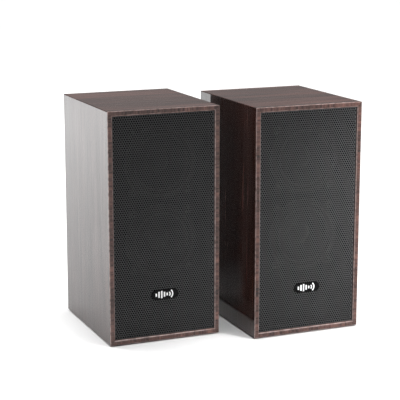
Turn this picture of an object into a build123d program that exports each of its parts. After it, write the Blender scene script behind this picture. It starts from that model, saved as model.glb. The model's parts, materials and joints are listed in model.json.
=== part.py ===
from build123d import *
import os
from math import asin, cos, pi, radians, sin

# Desktop speakers: a pair of small two-way-height boxes, each with two equal
# full-range drivers behind a perforated grille. The left one is passive, the
# right one holds the amplifier. Millimetres, +Z up, the fronts face -Y.
#
# Each cabinet is drawn in its own frame, whose origin is the front, bottom,
# left corner of the wooden sleeve: X across, Y from front to back, Z up.

# ---- driving dimensions --------------------------------------------------
CABINET_WIDTH = 100.0
CABINET_DEPTH = 120.0
CABINET_HEIGHT = 200.0
PAIR_SPACING = 121.4        # from one cabinet's left side to the other's
PAIR_STAGGER = 27.6         # the right cabinet stands this much further forward
FOOT_HEIGHT = 1.0
FOOT_RADIUS = 7.0
FOOT_INSET = 14.0

WALL = 9.0                  # board thickness of the folded sleeve
LIP = 4.2                   # what the front and back rebates leave of it
EDGE_ROUND = 0.6
INNER_CHAMFER = 0.9
FIT_GAP = 0.2               # between a panel and the rebate around it

GRILLE_FRONT = 1.7
GRILLE_BACK = 2.5
BAFFLE_FRONT = 10.0
BAFFLE_BACK = 14.0
BAFFLE_RIM = 2.0
PANEL_FRONT = 111.0
PANEL_BACK = 115.0
AMP_PLATE_BACK = 116.2

BADGE_WIDTH = 24.5
BADGE_HEIGHT = 8.5
BADGE_THICKNESS = 1.0
BADGE_Z = 40.0

DRIVER_ZS = {"upper": 153.0, "lower": 85.0}
BAFFLE_HOLE_RADIUS = 26.2
FLANGE_FRONT = 9.0
FLANGE_RADIUS = 32.0
EAR_CIRCLE_RADIUS = 35.0
EAR_RADIUS = 4.0
BASKET_WINDOWS = 6

SCREW_RADIUS = 1.25
SCREW_HEAD_RADIUS = 2.3
SCREW_HEAD_HEIGHT = 1.4
SCREW_LENGTH = 8.0
SCREW_HOLE_GAP = 0.05
PANEL_SCREW_INSET = 6.9
PANEL_SCREW_ZS = (24.0, 176.0)

PORT_Z = 165.0
PORT_INNER_RADIUS = 10.0
PORT_OUTER_RADIUS = 12.0
PORT_FLANGE_RADIUS = 15.0
PORT_FRONT = 62.0

TERMINAL_Z = 72.0
LEVER_SPACING = 17.0
LEVER_WIDTH = 8.0
WIRE_HOLE_RADIUS = 1.3
TERMINAL_FLANGE = 1.6
TERMINAL_HALF_WIDTH = 17.0
TERMINAL_HALF_HEIGHT = 11.0
TERMINAL_SCREW_REACH = 21.5

AMP_PLATE_X = (14.0, 86.0)
AMP_PLATE_Z = (20.0, 136.0)
AMP_PLATE_OVERLAP = 7.0     # how far it covers the panel around its cutout
KNOB_XS = {"volume": 33.0, "tone": 67.0}
KNOB_Z = 116.0
KNOB_RADIUS = 8.5
KNOB_FLUTES = 24
SHAFT_RADIUS = 2.95
BUSH_RADIUS = 3.5
JACK_X = 50.0
JACK_Z = 97.0
JACK_BORE_RADIUS = 1.8
COLLAR_RADIUS = 3.4
INLET_X = 34.0
INLET_Z = 38.0
SWITCH_X = 68.0
SWITCH_Z = 38.0
ROCKER_TILT = 10.0          # each way from level

MIDDLE_X = CABINET_WIDTH / 2
PIVOT_RADIUS = 1.0          # of a lever's or the rocker's pins
PIVOT_GAP = 0.05            # radial clearance of a pin in its hole
CUTOUT_GAP = 0.2            # around a moulding that goes through a plate


# ---- shapes used by several sub-parts ------------------------------------
def block(x, y, z):
    """A block between two corners, each axis given as (low, high)."""
    size = Box(x[1] - x[0], y[1] - y[0], z[1] - z[0])
    return Pos(sum(x) / 2, sum(y) / 2, sum(z) / 2) * size


def around(centre, half):
    """The (low, high) pair that lies evenly about a centre."""
    return (centre - half, centre + half)


def rod(x, z, radius, y):
    """A round bar along Y."""
    return Pos(x, sum(y) / 2, z) * Rot(90, 0, 0) * Cylinder(radius, y[1] - y[0])


def cross_pin(x, y, z, radius):
    """A round bar along X."""
    return Pos(sum(x) / 2, y, z) * Rot(0, 90, 0) * Cylinder(radius, x[1] - x[0])


def hexagon(x, z, radius, y):
    """A six-sided bar along Y, such as a nut."""
    sketch = Plane.XZ * RegularPolygon(radius, 6)
    return Pos(x, y[1], z) * extrude(sketch, y[1] - y[0])


def turned(x, z, edges):
    """A solid turned about Y, from edges drawn as (radius, y)."""
    return Pos(x, 0, z) * revolve(make_face(edges), Axis.Y)


def outline(*points):
    """The edges of a closed outline with straight sides."""
    return Polyline(*points, close=True).edges()


def side_cut(points, width):
    """A plate across X, from an outline drawn as (y, z)."""
    return extrude(Plane.YZ * make_face(outline(*points)), width / 2, both=True)


def rounded_block(x, y, z, radius):
    """A block whose four edges along Y are rounded."""
    plain = block(x, y, z)
    return fillet(plain.edges().filter_by(Axis.Y), radius)


def screw(x, z, head_back, forward):
    """A pan-head screw along Y. Its head sits on head_back, and forward is +1 if it points to +Y."""
    shank = rod(x, z, SCREW_RADIUS, sorted((head_back, head_back + forward * SCREW_LENGTH)))
    head_top = head_back - forward * SCREW_HEAD_HEIGHT
    head = rod(x, z, SCREW_HEAD_RADIUS, sorted((head_back, head_top)))
    far_edges = head.edges().filter_by_position(Axis.Y, head_top - 0.01, head_top + 0.01)
    head = fillet(far_edges, 0.5)
    slot_depth = sorted((head_top, head_top + forward * 0.9))
    upright = block(around(x, 0.3), slot_depth, around(z, 1.3))
    level = block(around(x, 1.3), slot_depth, around(z, 0.3))
    return shank + head - upright - level


def screw_hole(x, z, y):
    """What a screw's own hole takes out of the piece around its shank."""
    return rod(x, z, SCREW_RADIUS + SCREW_HOLE_GAP, y)


# ---- places that more than one piece needs -------------------------------
def ear_places(driver_z):
    """The four screws of one driver, on the diagonals of its frame."""
    reach = EAR_CIRCLE_RADIUS * cos(radians(45))
    return [(MIDDLE_X + sx * reach, driver_z + sz * reach) for sx in (-1, 1) for sz in (-1, 1)]


def panel_screw_places():
    sides = (PANEL_SCREW_INSET, CABINET_WIDTH - PANEL_SCREW_INSET)
    return [(x, z) for x in sides for z in PANEL_SCREW_ZS]


def terminal_screw_places():
    return [(MIDDLE_X + side * TERMINAL_SCREW_REACH, TERMINAL_Z) for side in (-1, 1)]


def terminal_cutout(y):
    """What the terminal block's body takes out of a plate."""
    width = around(MIDDLE_X, TERMINAL_HALF_WIDTH + CUTOUT_GAP)
    height = around(TERMINAL_Z, TERMINAL_HALF_HEIGHT + CUTOUT_GAP)
    return block(width, y, height)


def amp_screw_places():
    inset = 4.0
    xs = (AMP_PLATE_X[0] + inset, AMP_PLATE_X[1] - inset)
    zs = (AMP_PLATE_Z[0] + inset, AMP_PLATE_Z[1] - inset)
    return [(x, z) for x in xs for z in zs]


# ---- cabinet -------------------------------------------------------------
def cabinet_sleeve():
    """Four sides of one grooved and folded board, open at front and back."""
    outer = block((0, CABINET_WIDTH), (0, CABINET_DEPTH), (0, CABINET_HEIGHT))
    outer = fillet(outer.edges(), EDGE_ROUND)
    past = 1.0
    hollow = block(
        (WALL, CABINET_WIDTH - WALL), (-past, CABINET_DEPTH + past), (WALL, CABINET_HEIGHT - WALL)
    )
    rebate_x = (LIP, CABINET_WIDTH - LIP)
    rebate_z = (LIP, CABINET_HEIGHT - LIP)
    front_rebate = block(rebate_x, (-past, BAFFLE_BACK), rebate_z)
    back_rebate = block(rebate_x, (PANEL_FRONT, CABINET_DEPTH + past), rebate_z)
    sleeve = outer - hollow - front_rebate - back_rebate

    def is_inner(edge):
        middle = edge.center()
        inside_x = abs(middle.X - MIDDLE_X) < CABINET_WIDTH / 2 - LIP + 0.1
        inside_z = abs(middle.Z - CABINET_HEIGHT / 2) < CABINET_HEIGHT / 2 - LIP + 0.1
        return inside_x and inside_z

    front_edges = sleeve.edges().filter_by_position(Axis.Y, -0.01, 0.01).filter_by(is_inner)
    sleeve = chamfer(front_edges, INNER_CHAMFER)
    screw_tip = PANEL_BACK - SCREW_LENGTH - 0.5
    for x, z in panel_screw_places():
        sleeve -= screw_hole(x, z, (screw_tip, PANEL_FRONT + 0.5))
    return sleeve


def feet():
    xs = (FOOT_INSET, CABINET_WIDTH - FOOT_INSET)
    ys = (FOOT_INSET, CABINET_DEPTH - FOOT_INSET)
    pads = []
    for x in xs:
        for y in ys:
            pad = Pos(x, y, -FOOT_HEIGHT / 2) * Cylinder(FOOT_RADIUS, FOOT_HEIGHT)
            pads.append(chamfer(pad.edges().group_by(Axis.Z)[0], 0.3))
    return pads


def front_baffle():
    """Moulded plate that carries the drivers, with a rim that carries the grille."""
    edge = LIP + FIT_GAP
    width = (edge, CABINET_WIDTH - edge)
    height = (edge, CABINET_HEIGHT - edge)
    plate = block(width, (GRILLE_BACK, BAFFLE_BACK), height)
    plate -= block(
        (width[0] + BAFFLE_RIM, width[1] - BAFFLE_RIM),
        (GRILLE_BACK - 1, BAFFLE_FRONT),
        (height[0] + BAFFLE_RIM, height[1] - BAFFLE_RIM),
    )
    boss_back = FLANGE_FRONT + SCREW_LENGTH + 1.0
    for driver_z in DRIVER_ZS.values():
        plate -= rod(MIDDLE_X, driver_z, BAFFLE_HOLE_RADIUS, (0, BAFFLE_BACK + 1))
        for x, z in ear_places(driver_z):
            plate += rod(x, z, 3.2, (BAFFLE_BACK - 0.5, boss_back))
    for driver_z in DRIVER_ZS.values():
        for x, z in ear_places(driver_z):
            plate -= screw_hole(x, z, (FLANGE_FRONT, FLANGE_FRONT + SCREW_LENGTH + 0.3))
    return plate


def grille():
    """Flat sheet that rests on the baffle's rim."""
    edge = LIP + FIT_GAP + 0.1
    return rounded_block(
        (edge, CABINET_WIDTH - edge), (GRILLE_FRONT, GRILLE_BACK), (edge, CABINET_HEIGHT - edge), 0.8
    )


def badge():
    """Pill-shaped plate stuck to the grille."""
    front = GRILLE_FRONT - BADGE_THICKNESS
    pill = rounded_block(
        around(MIDDLE_X, BADGE_WIDTH / 2),
        (front, GRILLE_FRONT),
        around(BADGE_Z, BADGE_HEIGHT / 2),
        BADGE_HEIGHT / 2 - 0.01,
    )
    front_edges = pill.edges().filter_by_position(Axis.Y, front - 0.01, front + 0.01)
    return fillet(front_edges, 0.4)


def port_tube():
    """Bass-reflex tube with a flared mouth at the back."""
    flare_start = PANEL_BACK - 2.0
    mouth_back = PANEL_BACK + 1.8
    mouth_radius = PORT_INNER_RADIUS + 2.6
    edges = [
        *Polyline(
            (PORT_INNER_RADIUS, flare_start),
            (PORT_INNER_RADIUS, PORT_FRONT),
            (PORT_OUTER_RADIUS, PORT_FRONT),
            (PORT_OUTER_RADIUS, PANEL_BACK),
            (PORT_FLANGE_RADIUS, PANEL_BACK),
            (PORT_FLANGE_RADIUS, mouth_back - 0.6),
            (PORT_FLANGE_RADIUS - 0.6, mouth_back),
            (mouth_radius, mouth_back),
        ).edges(),
        ThreePointArc(
            (mouth_radius, mouth_back),
            (PORT_INNER_RADIUS + 0.7, PANEL_BACK + 0.5),
            (PORT_INNER_RADIUS, flare_start),
        ),
    ]
    return turned(MIDDLE_X, PORT_Z, edges)


def back_panel():
    """Board screwed into the back rebate, with the port's hole."""
    edge = LIP + FIT_GAP
    panel = block((edge, CABINET_WIDTH - edge), (PANEL_FRONT, PANEL_BACK), (edge, CABINET_HEIGHT - edge))
    panel -= rod(MIDDLE_X, PORT_Z, PORT_OUTER_RADIUS + 0.2, (PANEL_FRONT - 1, PANEL_BACK + 1))
    for x, z in panel_screw_places():
        panel -= screw_hole(x, z, (PANEL_FRONT - 1, PANEL_BACK + 1))
    return panel


# ---- driver --------------------------------------------------------------
def basket(z):
    """Pressed frame: a flange with four ears, a windowed wall, the spider's ledge and the foot."""
    edges = outline(
        (25.2, FLANGE_FRONT),
        (FLANGE_RADIUS, FLANGE_FRONT),
        (FLANGE_RADIUS, BAFFLE_FRONT),
        (26.0, BAFFLE_FRONT),
        (26.0, 13.2),
        (20.8, 23.2),
        (17.0, 23.2),
        (17.0, 27.0),
        (9.5, 27.0),
        (9.5, 26.0),
        (16.0, 26.0),
        (16.0, 22.4),
        (20.2, 22.4),
        (25.2, 13.0),
    )
    frame = turned(MIDDLE_X, z, edges)
    for ear_x, ear_z in ear_places(z):
        ear = rod(ear_x, ear_z, EAR_RADIUS, (FLANGE_FRONT, BAFFLE_FRONT))
        frame += ear - rod(MIDDLE_X, z, 30.0, (FLANGE_FRONT - 1, BAFFLE_FRONT + 1))
    for ear_x, ear_z in ear_places(z):
        frame -= screw_hole(ear_x, ear_z, (FLANGE_FRONT - 1, BAFFLE_FRONT + 1))
    window = block((-5.5, 5.5), (14.2, 21.2), (18.0, 30.0))
    for index in range(BASKET_WINDOWS):
        turn = Rot(0, index * 360 / BASKET_WINDOWS, 0)
        frame -= Pos(MIDDLE_X, 0, z) * turn * window
    return frame


def magnet(z):
    """Ferrite ring between the two steel plates."""
    edges = outline(
        (11.5, 30.0), (21.9, 30.0), (22.5, 30.6), (22.5, 37.4), (21.9, 38.0), (11.5, 38.0)
    )
    return turned(MIDDLE_X, z, edges)


def top_plate(z):
    edges = outline((8.8, 27.0), (20.0, 27.0), (20.0, 30.0), (8.8, 30.0))
    return turned(MIDDLE_X, z, edges)


def yoke(z):
    """Back plate with the pole that the voice coil surrounds."""
    edges = outline((0, 27.0), (7.2, 27.0), (7.2, 38.0), (20.0, 38.0), (20.0, 41.0), (0, 41.0))
    return turned(MIDDLE_X, z, edges)


def cone(z):
    """Paper cone with a flat rim for the surround and a neck for the voice coil."""
    edges = [
        Line((24.0, 10.4), (22.4, 10.4)),
        ThreePointArc((22.4, 10.4), (14.6, 14.4), (7.85, 19.6)),
        *Polyline((7.85, 19.6), (7.85, 20.2), (8.35, 20.2)).edges(),
        ThreePointArc((8.35, 20.2), (15.0, 14.95), (22.6, 10.9)),
        *Polyline((22.6, 10.9), (24.0, 10.9), (24.0, 10.4)).edges(),
    ]
    return turned(MIDDLE_X, z, edges)


def dust_cap(z):
    """Shallow dome that closes the cone's middle."""
    apex = 14.2
    depth = 2.8
    rim = 9.6
    thick = 0.4
    ball = (rim**2 + depth**2) / (2 * depth)
    centre = apex + ball

    def on_ball(radius, share):
        angle = asin(rim / ball) * share
        return (radius * sin(angle), centre - radius * cos(angle))

    inner = ball - thick
    edges = [
        ThreePointArc(on_ball(ball, 0), on_ball(ball, 0.5), on_ball(ball, 1)),
        Line(on_ball(ball, 1), on_ball(inner, 1)),
        ThreePointArc(on_ball(inner, 1), on_ball(inner, 0.5), on_ball(inner, 0)),
        Line(on_ball(inner, 0), on_ball(ball, 0)),
    ]
    return turned(MIDDLE_X, z, edges)


def voice_coil(z):
    """Former tube and the winding around its back end."""
    former = outline((7.6, 18.6), (7.8, 18.6), (7.8, 33.0), (7.6, 33.0))
    winding = outline((7.82, 26.2), (8.3, 26.2), (8.3, 32.4), (7.82, 32.4))
    return [turned(MIDDLE_X, z, former), turned(MIDDLE_X, z, winding)]


def surround(z):
    """Rubber half roll between the flange and the cone's rim."""
    edges = [
        Line((31.2, 8.5), (28.6, 8.5)),
        ThreePointArc((28.6, 8.5), (26.2, 6.1), (23.8, 8.5)),
        *Polyline((23.8, 8.5), (23.8, 9.9), (22.6, 9.9), (22.6, 10.35), (24.3, 10.35)).edges(),
        Line((24.3, 10.35), (24.3, 8.5)),
        ThreePointArc((24.3, 8.5), (26.2, 6.6), (28.1, 8.5)),
        *Polyline((28.1, 8.5), (28.1, 9.0), (31.2, 9.0), (31.2, 8.5)).edges(),
    ]
    return turned(MIDDLE_X, z, edges)


def spider(z):
    """Corrugated cloth disc that centres the voice coil on its ledge."""
    inner = 8.0
    flat_from = 16.2
    outer = 20.0
    ridges = 4
    steps = 6 * ridges
    wave = []
    for step in range(steps + 1):
        share = step / steps
        radius = inner + (flat_from - inner) * share
        wave.append((radius, 21.75 - 0.45 * sin(2 * pi * ridges * share)))
    thick = 0.4
    upper = wave + [(outer, 21.75)]
    lower = [(radius, y + thick) for radius, y in reversed(upper)]
    return turned(MIDDLE_X, z, outline(*upper, *lower))


# ---- spring-clip terminals -----------------------------------------------
def lever_pivot(face_y):
    """Where a lever turns, as (y, z)."""
    return (face_y - 2.0, TERMINAL_Z - 2.5)


def lever_xs():
    return {"red": MIDDLE_X - LEVER_SPACING / 2, "black": MIDDLE_X + LEVER_SPACING / 2}


def terminal_block(face_y):
    """Moulded block with a pocket and a wire hole for each lever; face_y is what its flange rests on."""
    flange = rounded_block(
        around(MIDDLE_X, 26.0), (face_y, face_y + TERMINAL_FLANGE), around(TERMINAL_Z, 14.0), 3.0
    )
    flange_front = flange.edges().group_by(Axis.Y)[-1]
    flange = chamfer(flange_front, 0.4)
    body = block(
        around(MIDDLE_X, TERMINAL_HALF_WIDTH),
        (face_y - 10.0, face_y + 0.5),
        around(TERMINAL_Z, TERMINAL_HALF_HEIGHT),
    )
    moulding = flange + body
    pivot_y, pivot_z = lever_pivot(face_y)
    for x in lever_xs().values():
        pocket_x = around(x, LEVER_WIDTH / 2 + 0.5)
        pin_x = around(x, LEVER_WIDTH / 2 + 1.4)
        moulding -= block(pocket_x, (pivot_y - 4.0, face_y + 3.0), (pivot_z - 2.5, pivot_z + 12.0))
        moulding -= cross_pin(pin_x, pivot_y, pivot_z, PIVOT_RADIUS + PIVOT_GAP)
        moulding -= rod(x, pivot_z - 6.0, WIRE_HOLE_RADIUS, (pivot_y - 6.0, face_y + 3.0))
    for x, z in terminal_screw_places():
        moulding -= screw_hole(x, z, (face_y - 1, face_y + 3))
    return moulding


def lever(x, face_y):
    """Push tab on two pivot pins, ribbed where the finger presses."""
    y, z = lever_pivot(face_y)
    tab = side_cut(
        [
            (y - 1.5, z - 1.0),
            (y + 6.0, z - 1.0),
            (y + 6.0, z + 10.0),
            (y + 4.0, z + 10.0),
            (y + 4.0, z + 1.8),
            (y - 1.5, z + 1.8),
        ],
        LEVER_WIDTH,
    )
    tab = Pos(x, 0, 0) * tab
    for rib in range(4):
        rib_z = z + 4.6 + 1.4 * rib
        tab -= block(around(x, LEVER_WIDTH / 2 - 0.8), (y + 5.6, y + 6.5), around(rib_z, 0.35))
    pins = cross_pin(around(x, LEVER_WIDTH / 2 + 1.2), y, z, PIVOT_RADIUS)
    return tab + pins


# ---- amplifier -----------------------------------------------------------
def amp_panel():
    """Aluminium plate that carries the controls and sockets."""
    plate = rounded_block(AMP_PLATE_X, (PANEL_BACK, AMP_PLATE_BACK), AMP_PLATE_Z, 3.0)
    through = (PANEL_BACK - 1, AMP_PLATE_BACK + 1)
    plate -= terminal_cutout(through)
    plate -= block(around(INLET_X, 10.0 + CUTOUT_GAP), through, around(INLET_Z, 6.5 + CUTOUT_GAP))
    plate -= block(around(SWITCH_X, 6.5 + CUTOUT_GAP), through, around(SWITCH_Z, 10.2 + CUTOUT_GAP))
    plate -= rod(JACK_X, JACK_Z, COLLAR_RADIUS + 0.1, through)
    for x in KNOB_XS.values():
        plate -= rod(x, KNOB_Z, BUSH_RADIUS + 0.1, through)
    for x, z in amp_screw_places() + terminal_screw_places():
        plate -= screw_hole(x, z, through)
    return plate


def knob(x):
    """Fluted knob with the stem that turns the potentiometer, and a pointer groove."""
    back = AMP_PLATE_BACK + 1.4
    top = back + 13.0
    body = rod(x, KNOB_Z, KNOB_RADIUS, (back, top))
    body = chamfer(body.edges().group_by(Axis.Y)[-1], 0.8)
    for index in range(KNOB_FLUTES):
        angle = 2 * pi * index / KNOB_FLUTES
        flute_x = x + (KNOB_RADIUS + 0.25) * cos(angle)
        flute_z = KNOB_Z + (KNOB_RADIUS + 0.25) * sin(angle)
        body -= rod(flute_x, flute_z, 0.6, (back + 2.5, top + 1))
    body -= rod(x, KNOB_Z, 6.2, (back - 1, back + 2.8))
    body -= block(around(x, 0.4), (top - 0.5, top + 1), (KNOB_Z + 2.5, KNOB_Z + KNOB_RADIUS + 1))
    stem = rod(x, KNOB_Z, SHAFT_RADIUS, (108.0, back + 3.5))
    return body + stem


def control_pot(x):
    """Potentiometer can with its threaded bush, and the nut that holds it to the plate."""
    can = rod(x, KNOB_Z, 8.0, (103.0, 112.0))
    can += rod(x, KNOB_Z, BUSH_RADIUS, (111.5, 119.0))
    can -= rod(x, KNOB_Z, SHAFT_RADIUS + PIVOT_GAP, (107.0, 120.0))
    nut = hexagon(x, KNOB_Z, 5.4, (AMP_PLATE_BACK, AMP_PLATE_BACK + 1.8))
    nut -= rod(x, KNOB_Z, BUSH_RADIUS + 0.02, (AMP_PLATE_BACK - 1, AMP_PLATE_BACK + 3))
    return [can, nut]


def input_jack():
    """Stereo 3.5 mm socket with a threaded collar and a ring nut."""
    body = block(around(JACK_X, 6.0), (102.0, 114.6), around(JACK_Z, 5.0))
    body += rod(JACK_X, JACK_Z, COLLAR_RADIUS, (114.0, 119.0))
    body -= rod(JACK_X, JACK_Z, JACK_BORE_RADIUS, (104.0, 120.0))
    nut = rod(JACK_X, JACK_Z, 4.8, (AMP_PLATE_BACK, AMP_PLATE_BACK + 1.7))
    nut = chamfer(nut.edges().group_by(Axis.Y)[-1], 0.4)
    nut -= rod(JACK_X, JACK_Z, COLLAR_RADIUS + 0.02, (AMP_PLATE_BACK - 1, AMP_PLATE_BACK + 3))
    return [body, nut]


def mains_inlet():
    """Two-pole appliance inlet, open towards the back."""
    mouth = AMP_PLATE_BACK + 2.0
    flange = rounded_block(around(INLET_X, 14.0), (AMP_PLATE_BACK, mouth), around(INLET_Z, 8.0), 2.5)
    flange = chamfer(flange.edges().group_by(Axis.Y)[-1], 0.5)
    body = block(around(INLET_X, 10.0), (98.0, AMP_PLATE_BACK + 0.5), around(INLET_Z, 6.5))
    recess = rounded_block(around(INLET_X, 8.3), (106.0, mouth + 1), around(INLET_Z, 4.2), 4.15)
    housing = flange + body - recess
    for x in inlet_pin_xs():
        housing -= rod(x, INLET_Z, 1.2, (100.0, 107.0))
    return housing


def inlet_pin_xs():
    return [INLET_X - 4.3, INLET_X + 4.3]


def mains_pins():
    pins = []
    for x in inlet_pin_xs():
        pin = rod(x, INLET_Z, 1.18, (100.2, AMP_PLATE_BACK))
        pins.append(fillet(pin.edges().group_by(Axis.Y)[-1], 0.9))
    return pins


def rocker_pivot():
    return (112.5, SWITCH_Z)


def power_switch_body():
    """Snap-in switch housing, open where the rocker tips."""
    face = AMP_PLATE_BACK + 1.6
    flange = rounded_block(around(SWITCH_X, 8.0), (AMP_PLATE_BACK, face), around(SWITCH_Z, 12.0), 1.2)
    flange = chamfer(flange.edges().group_by(Axis.Y)[-1], 0.4)
    body = block(around(SWITCH_X, 6.5), (103.0, AMP_PLATE_BACK + 0.5), around(SWITCH_Z, 10.2))
    housing = flange + body
    housing -= block(around(SWITCH_X, 4.6), (108.5, face + 1), around(SWITCH_Z, 9.0))
    pivot_y, pivot_z = rocker_pivot()
    housing -= cross_pin(around(SWITCH_X, 5.6), pivot_y, pivot_z, PIVOT_RADIUS + PIVOT_GAP)
    return housing


def power_rocker():
    """Rocker on two pivot pins, drawn level and then tipped to its off position."""
    y, z = rocker_pivot()
    tipped = side_cut(
        [(2.0, -7.6), (6.6, -7.6), (5.6, 0), (6.6, 7.6), (2.0, 7.6), (-1.5, 2.0), (-1.5, -2.0)], 8.6
    )
    tipped += cross_pin((-5.4, 5.4), 0, 0, PIVOT_RADIUS)
    return Pos(SWITCH_X, y, z) * Rot(-ROCKER_TILT, 0, 0) * tipped


def circuit_board():
    """Amplifier board behind the controls, with its tall components."""
    board = block((24.0, 76.0), (100.0, 101.6), (86.0, 128.0))
    pieces = [board]
    for x, z, radius, height in ((29.5, 92.0, 4.0, 14.0), (39.0, 92.0, 4.0, 14.0), (70.0, 92.0, 5.0, 18.0)):
        pieces.append(rod(x, z, radius, (100.0 - height, 100.0)))
    pieces.append(block((58.0, 63.0), (96.0, 100.0), (88.0, 98.0)))
    return pieces


def heat_sink():
    """Finned extrusion that cools the amplifier chip."""
    x_low = 33.0
    fin_count = 8
    fin_pitch = 4.6
    sink = block((x_low, x_low + fin_pitch * (fin_count - 1) + 1.4), (96.0, 100.0), (102.0, 124.0))
    for index in range(fin_count):
        fin_x = x_low + fin_pitch * index
        sink += block((fin_x, fin_x + 1.4), (82.0, 97.0), (102.0, 124.0))
    return sink


def transformer():
    """Laminated core on the cabinet's floor, its coil, and the strap that holds it down."""
    floor = WALL
    core = block(around(MIDDLE_X, 20.5), (66.0, 82.0), (floor, floor + 34.0))
    coil_space = block(around(MIDDLE_X, 13.0), (60.0, 88.0), (floor + 6.0, floor + 28.0))
    coil = fillet(coil_space.edges().filter_by(Axis.Z), 4.0)
    core -= coil_space
    strap = block(around(MIDDLE_X, 22.0), (70.0, 78.0), (floor, floor + 35.2))
    strap -= block(around(MIDDLE_X, 20.8), (69.0, 79.0), (floor - 1, floor + 34.2))
    for side in (-1, 1):
        strap += block(around(MIDDLE_X + side * 26.0, 4.8), (70.0, 78.0), (floor, floor + 1.2))
    return [core, coil, strap]


# ---- assembly ------------------------------------------------------------
def cabinet_nodes(side, amplified):
    """Every node of one cabinet, in that cabinet's own frame."""
    face = AMP_PLATE_BACK if amplified else PANEL_BACK
    panel = back_panel()
    if amplified:
        cutout_x = (AMP_PLATE_X[0] + AMP_PLATE_OVERLAP, AMP_PLATE_X[1] - AMP_PLATE_OVERLAP)
        cutout_z = (AMP_PLATE_Z[0] + AMP_PLATE_OVERLAP, AMP_PLATE_Z[1] - AMP_PLATE_OVERLAP)
        panel -= block(cutout_x, (PANEL_FRONT - 1, PANEL_BACK + 1), cutout_z)
        plate_screws = amp_screw_places()
    else:
        panel -= terminal_cutout((PANEL_FRONT - 1, PANEL_BACK + 1))
        plate_screws = []
    for x, z in plate_screws + ([] if amplified else terminal_screw_places()):
        panel -= screw_hole(x, z, (PANEL_FRONT - 1, PANEL_BACK + 1))

    screws = [screw(x, z, PANEL_BACK, -1) for x, z in panel_screw_places()]
    screws += [screw(x, z, AMP_PLATE_BACK, -1) for x, z in plate_screws]
    screws += [screw(x, z, face + TERMINAL_FLANGE, -1) for x, z in terminal_screw_places()]
    for driver_z in DRIVER_ZS.values():
        screws += [screw(x, z, FLANGE_FRONT, 1) for x, z in ear_places(driver_z)]

    zs = DRIVER_ZS.values()
    nodes = {
        "cabinet_sleeve": [cabinet_sleeve()],
        "feet": feet(),
        "front_baffle": [front_baffle()],
        "grille": [grille()],
        "badge": [badge()],
        "back_panel": [panel],
        "port_tube": [port_tube()],
        "driver_baskets": [basket(z) for z in zs],
        "driver_magnets": [magnet(z) for z in zs],
        "driver_plates": [make(z) for z in zs for make in (top_plate, yoke)],
        "screws": screws,
        "terminal_block": [terminal_block(face)],
    }
    for colour, x in lever_xs().items():
        nodes[f"{colour}_lever"] = [lever(x, face)]
    for name, z in DRIVER_ZS.items():
        nodes[f"{name}_cone"] = [cone(z)]
        nodes[f"{name}_dust_cap"] = [dust_cap(z)]
        nodes[f"{name}_voice_coil"] = voice_coil(z)
        nodes[f"{name}_surround"] = [surround(z)]
        nodes[f"{name}_spider"] = [spider(z)]
    return {f"{side}_{name}": solids for name, solids in nodes.items()}


def amplifier_nodes():
    """What only the right cabinet has, in that cabinet's own frame."""
    nodes = {f"{name}_knob": [knob(x)] for name, x in KNOB_XS.items()}
    nodes["amp_panel"] = [amp_panel()]
    nodes["control_pots"] = [piece for x in KNOB_XS.values() for piece in control_pot(x)]
    nodes["input_jack"] = input_jack()
    nodes["mains_inlet"] = [mains_inlet()]
    nodes["mains_pins"] = mains_pins()
    nodes["power_switch_body"] = [power_switch_body()]
    nodes["power_rocker"] = [power_rocker()]
    nodes["circuit_board"] = circuit_board()
    nodes["heat_sink"] = [heat_sink()]
    nodes["transformer"] = transformer()
    return nodes


def write(nodes, place):
    """One STEP file per node, moved to its cabinet's place in the pair."""
    for name, shapes in nodes.items():
        solids = [solid for shape in shapes for solid in shape.solids()]
        export_step(Compound(children=solids).moved(place), f"parts/{name}.step")


os.makedirs("parts", exist_ok=True)
# the origin is under the middle of the pair's bounding box, on the desk
pair_middle_x = (CABINET_WIDTH + PAIR_SPACING) / 2
pair_middle_y = (CABINET_DEPTH - PAIR_STAGGER) / 2
left_place = Location((-pair_middle_x, -pair_middle_y, FOOT_HEIGHT))
right_place = Location(
    (PAIR_SPACING - pair_middle_x, -PAIR_STAGGER - pair_middle_y, FOOT_HEIGHT)
)
write(cabinet_nodes("left", amplified=False), left_place)
write(cabinet_nodes("right", amplified=True), right_place)
write(amplifier_nodes(), right_place)
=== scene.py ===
import json
import math

import bmesh
import bpy
import numpy as np
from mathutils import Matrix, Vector
from mathutils.geometry import delaunay_2d_cdt


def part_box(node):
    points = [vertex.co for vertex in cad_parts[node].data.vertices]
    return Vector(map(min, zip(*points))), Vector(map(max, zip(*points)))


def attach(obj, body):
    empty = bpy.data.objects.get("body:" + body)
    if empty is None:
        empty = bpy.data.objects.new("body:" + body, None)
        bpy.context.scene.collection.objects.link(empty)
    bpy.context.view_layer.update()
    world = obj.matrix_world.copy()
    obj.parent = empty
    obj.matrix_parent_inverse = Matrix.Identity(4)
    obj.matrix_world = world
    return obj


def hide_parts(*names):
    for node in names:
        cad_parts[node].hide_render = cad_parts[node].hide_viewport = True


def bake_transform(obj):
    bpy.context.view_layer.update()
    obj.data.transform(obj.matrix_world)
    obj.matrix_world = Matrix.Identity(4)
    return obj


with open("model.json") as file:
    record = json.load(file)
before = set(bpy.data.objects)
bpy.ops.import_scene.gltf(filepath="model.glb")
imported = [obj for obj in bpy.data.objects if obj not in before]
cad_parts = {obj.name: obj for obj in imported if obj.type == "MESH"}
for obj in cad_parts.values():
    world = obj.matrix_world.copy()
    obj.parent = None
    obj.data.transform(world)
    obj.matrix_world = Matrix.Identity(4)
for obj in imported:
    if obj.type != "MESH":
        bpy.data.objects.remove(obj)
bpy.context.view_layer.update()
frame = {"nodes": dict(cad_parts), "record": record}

MM = 0.001
SIDES = ("left", "right")

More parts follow.
